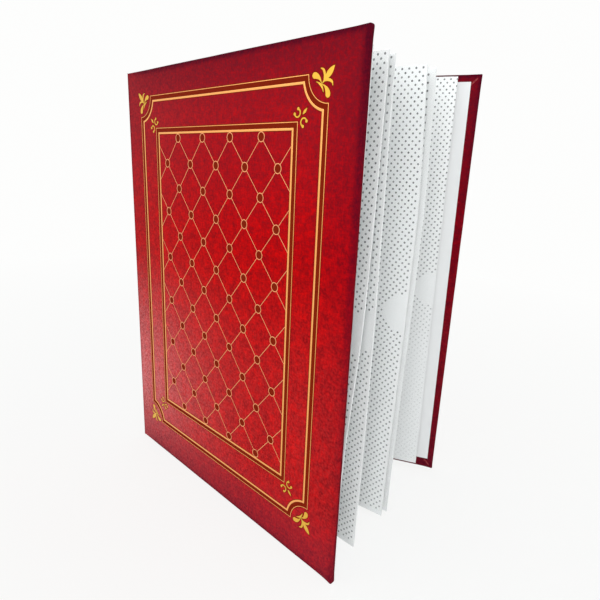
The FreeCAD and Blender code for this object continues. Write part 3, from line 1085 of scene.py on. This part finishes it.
def gold_blocking(foils, pressed):
    """Rules, trellis and fleurons in foil, each on a slightly wider pressed bed whose dark colour is painted
    shade of the groove, with scorched pile.
    """
    place, cover_low, _ = cover_box("front")
    face = cover_low.y
    rule_low, rule_high = local_box("front_gold_rules", place)
    low = Vector((rule_low.x, rule_low.z)) + Vector((thin_rule, thin_rule)) / 2
    high = Vector((rule_high.x, rule_high.z)) - Vector((thin_rule, thin_rule)) / 2
    field_side = inner_side_inset + rule_step + thick_rule / 2
    field_end = inner_end_inset + rule_step + thick_rule / 2
    field = grown(low, high, -field_side, -field_end)
    rings, pitch = trellis_rings(*field)
    lines = trellis_lines(rings, pitch, *field)
    ring_paths = [circle(ring, ring_radius - ring_line / 2, ring_sides) for ring in rings]
    blocks = {
        "front_gold_rules": (
            press_margin,
            [(*rule, True) for rule in rule_paths(low, high)],
            [ribbon(*band, band_press_height, face, -1, True) for band in band_paths(low, high)],
        ),
        "front_gold_trellis": (
            trellis_press_margin,
            [(path, ring_line, True) for path in ring_paths]
            + [(line, trellis_line, False) for line in lines],
            [disc(path, press_height, face) for path in ring_paths],
        ),
    }
    for node, (margin, strokes, grounds) in blocks.items():
        parts = []
        beds = []
        for path, width, closed in strokes:
            parts.append(ribbon(path, width, foil_height, face, -1, closed))
            beds.append(ribbon(path, width + 2 * margin, press_height, face, -1, closed))
        set_foil(node, merge(parts), merge(beds + grounds), foils[node], pressed, place)
    shapes = fleuron_shapes(low, high)
    heights = [foil_height + number % plaque_levels * plaque_level_step for number in range(len(shapes))]
    parts = [plaque(shape, face, height) for shape, height in zip(shapes, heights)]
    beds = [ribbon(shape, 2 * press_margin, press_height, face, -1, True) for shape in shapes]
    node = "front_gold_fleurons"
    set_foil(node, merge(parts), merge(beds), foils[node], pressed, place)


def set_foil(node, part, bed, foil, pressed, place):
    piece = add_piece(f"{node}_foil", *part, foil, place)
    fit(piece, "front_cover", node)
    under = add_piece(f"{node}_press", *bed, pressed, place)
    fit(under, "front_cover")


# Leaves

def leaf_lean_at(number, width, height):
    """Function that gives how far the leaf leans out of its plane at a point."""
    spots = smooth_path(zip(lean_heights, leaf_lean[number]), lean_steps)
    shares = [spot.x for spot in spots]
    leans = [spot.y * MM for spot in spots]

    def lean(x, z):
        return float(np.interp(z / height, shares, leans)) * max(0.0, x / width) ** lean_power

    return lean


def leaf(number, film):
    """A leaf's card and its two films, which lean alike and narrow alike towards the head."""
    body = f"leaf_{number}"
    place = hinge_frame(f"{body}_hinge", f"{body}_card", f"{body}_card")
    size = local_box(f"{body}_card", place)[1]
    lean = leaf_lean_at(number, size.x, size.z)
    card = dotted_card(number, size.x, size.z)
    trim = leaf_head_trim.get(number, 0.0)
    for part, material, slot, swell, low_gap, high_gap in (
        ("card", card, "leaf_card", card_edge_swell, 0.0, 0.0),
        ("front_film", film, "clear_film", 0.0, 0.0, film_gap),
        ("back_film", film, "clear_film", 0.0, film_gap, 0.0),
    ):
        node = f"{body}_{part}"
        low, high = local_box(node, place)
        low.y += low_gap
        high.y -= high_gap
        points, faces = sheet(low, high, leaf_columns, leaf_rows, lean, swell)
        for point in points:
            point.x -= trim * (point.z / size.z) * (point.x / size.x)
        piece = add_piece(f"{node}_sheet", points, faces, material, place)
        fit(piece, body, node)


# Binding

def end_band(node, up, material):
    """Round band with wound threads along the spine's head or foot."""
    low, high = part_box(node)
    radius = (high.x - low.x) / 2
    middle = (low.x + high.x) / 2
    base = low.z if up > 0 else high.z
    turns = np.linspace(0.0, math.pi, band_sides + 1)
    rim = [Vector((math.cos(turn), 0.0, up * math.sin(turn))) for turn in turns]
    loops = []
    for share in np.linspace(0.0, 1.0, band_wraps * band_wrap_steps + 1):
        centre = Vector((middle, low.y + (high.y - low.y) * share, base))
        ridge = band_wrap_depth * abs(math.sin(math.pi * band_wraps * share))
        loops.append([centre + spot * (radius - band_wrap_depth + ridge) for spot in rim])
    piece = add_piece(f"{node}_wound", *bridge(loops), material, sharp=band_sharp)
    fit(piece, "spine", node)


def inner_joint(side, way, material):
    """Endpaper folded from the outermost spacer's side on to the cover, up to the pastedown."""
    place, low, high = cover_box(side)
    block_low, block_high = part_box("spacer_strips")
    paste_edge = local_box(f"{side}_pastedown", place)[0].x
    plane = way * (block_high.y + hinge_block_gap)
    glue_front, glue_back = hinge_glue_ends
    glued = [Vector((x, plane)) for x in (block_high.x - glue_front, block_low.x + glue_back)]
    level = (low.y if way > 0 else high.y) - way * hinge_paper_lift
    on_cover = [(place @ Vector((x, level, 0))).xy for x in (paste_edge - hinge_cover_lap, paste_edge)]
    fold = [Vector((block_low.x + hinge_fold_in, (glued[1].y + on_cover[0].y) / 2))]
    path = smooth_path(glued + fold + on_cover, hinge_curve_steps)
    if way > 0:
        path.reverse()
    foot = block_low.z + hinge_end_margin
    head = block_high.z - hinge_end_margin
    paper = strip(path, foot, head, hinge_paper, hinge_rows)
    piece = add_piece(f"{side}_inner_joint", *paper, material)
    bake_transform(piece)


def askew_pastedown(node, body, place, material):
    """Pastedown laid a little askew, narrower at the head than at the foot."""
    low, high = local_box(node, place)
    size = high - low
    points, faces = sheet(low, high, paste_columns, paste_rows, lambda x, z: 0.0, paste_edge_swell)
    for point in points:
        across = (point.x - low.x) / size.x
        up = (point.z - low.z) / size.z
        point.x += across * (paste_foot_shift.x + (paste_head_shift.x - paste_foot_shift.x) * up)
        point.z += paste_foot_shift.y + (paste_head_shift.y - paste_foot_shift.y) * up
    piece = add_piece(f"{node}_sheet", points, faces, material, place)
    fit(piece, body, node)


def dress(nodes, material):
    """Give CAD nodes that stay as they are a finished material."""
    for node in nodes:
        mesh = frame["nodes"][node].data
        mesh.materials.clear()
        mesh.materials.append(material)


# Stage

def floor_material():
    """Pale floor that takes a soft shadow near the album and fades into the background further out."""
    shader = Shader("floor")
    axes = shader.axes()
    far = shader.distance(axes["X"], axes["Y"])
    shader.set(Base_Color=(*floor_tone, 1), Roughness=0.9, Specular_IOR_Level=0.1)
    white = shader.node("Emission", {"Color": (*backdrop_tone, 1), "Strength": 1.0})
    share = shader.times(shader.seen_ray(), shader.remap(far, *floor_fade, floor_glow, 1.0))
    shader.blend(share, shader.surface, white, "Material Output")
    return shader.material


def add_floor():
    middle = ((cad_low + cad_high) / 2).xy
    reach = Vector((floor_reach, floor_reach))
    corners = [corner.to_3d() for corner in rectangle(middle - reach, middle + reach)]
    floor = add_piece("floor", corners, [(0, 1, 2, 3)], floor_material())


def add_world():
    """Surroundings: the backdrop's white where they are seen, and a soft light that is stronger from the
    sides than from above."""
    world = bpy.data.worlds.new("studio")
    world.use_nodes = True
    nodes = Nodes(world.node_tree)
    light = nodes.tree.nodes["Background"]
    light.inputs["Color"].default_value = (*light_tone, 1)
    way = nodes.node("TexCoord").outputs["Generated"]
    up = nodes.node("SeparateXYZ", {0: way}).outputs["Z"]
    feed(nodes.tree, light.inputs["Strength"], nodes.remap(up, 0.0, 1.0, horizon_light, zenith_light))
    white = nodes.node("Background", {"Color": (*backdrop_tone, 1)})
    nodes.blend(nodes.seen_ray(), light, white, "World Output")
    bpy.context.scene.world = world


def add_lamp(name, place, size, power):
    data = bpy.data.lights.new(name, "AREA")
    data.size = size
    data.energy = power
    aim = (Vector(lamp_aim) - Vector(place)).to_track_quat("-Z", "Y")
    add_object(name, data, Matrix.Translation(place) @ aim.to_matrix().to_4x4())


def add_camera():
    data = bpy.data.cameras.new("camera")
    data.lens = camera_lens
    data.shift_x, data.shift_y = camera_shift
    data.clip_start = camera_near
    turn = Matrix.Rotation(math.radians(camera_azimuth), 4, "Z")
    tilt = Matrix.Rotation(math.radians(90 - camera_elevation), 4, "X")
    roll = Matrix.Rotation(math.radians(camera_roll), 4, "Z")
    place = Matrix.Translation(camera_place) @ turn @ tilt @ roll
    bpy.context.scene.camera = add_object("camera", data, place)


def main():
    noise.seed_set(edge_wander_seed)
    red = leatherette()
    rubbed = rubbed_leatherette()
    endpaper = white_paper()
    guard_cloth = woven_cloth("guard_cloth", guard_tones, guard_pitch)
    gauze = woven_cloth("gauze", gauze_tones, gauze_pitch)
    bands = striped_band()
    film = clear_film()
    for side, way in (("front", -1), ("back", 1)):
        cover_shell(side, way, red)
        mitre_folds(side, -way, rubbed)
        outer_joint(side, way, red)
        inner_joint(side, way, endpaper)
    spine_shell(red)
    foils = {f"front_gold_{part}": gold_foil(f"gold_{part}", *tones) for part, tones in gold_tones.items()}
    gold_blocking(foils, pressed_shade_leatherette())
    for number in leaf_lean:
        leaf(number, film)
        dress([f"leaf_{number}_guard", f"leaf_{number}_stub"], guard_cloth)
    end_band("head_band", 1, bands)
    end_band("tail_band", -1, bands)
    askew_pastedown("back_pastedown", "back_cover", cover_box("back")[0], endpaper)
    dress(["front_pastedown", "spine_lining"], endpaper)
    dress(["front_board", "back_board", "spine_board", "spacer_strips"], layered_card())
    dress(["spine_mull"], gauze)
    add_floor()
    add_world()
    for name, (place, size, power) in lamps.items():
        add_lamp(name, place, size, power)
    add_camera()
    bpy.context.scene.view_settings.view_transform = "Standard"


main()
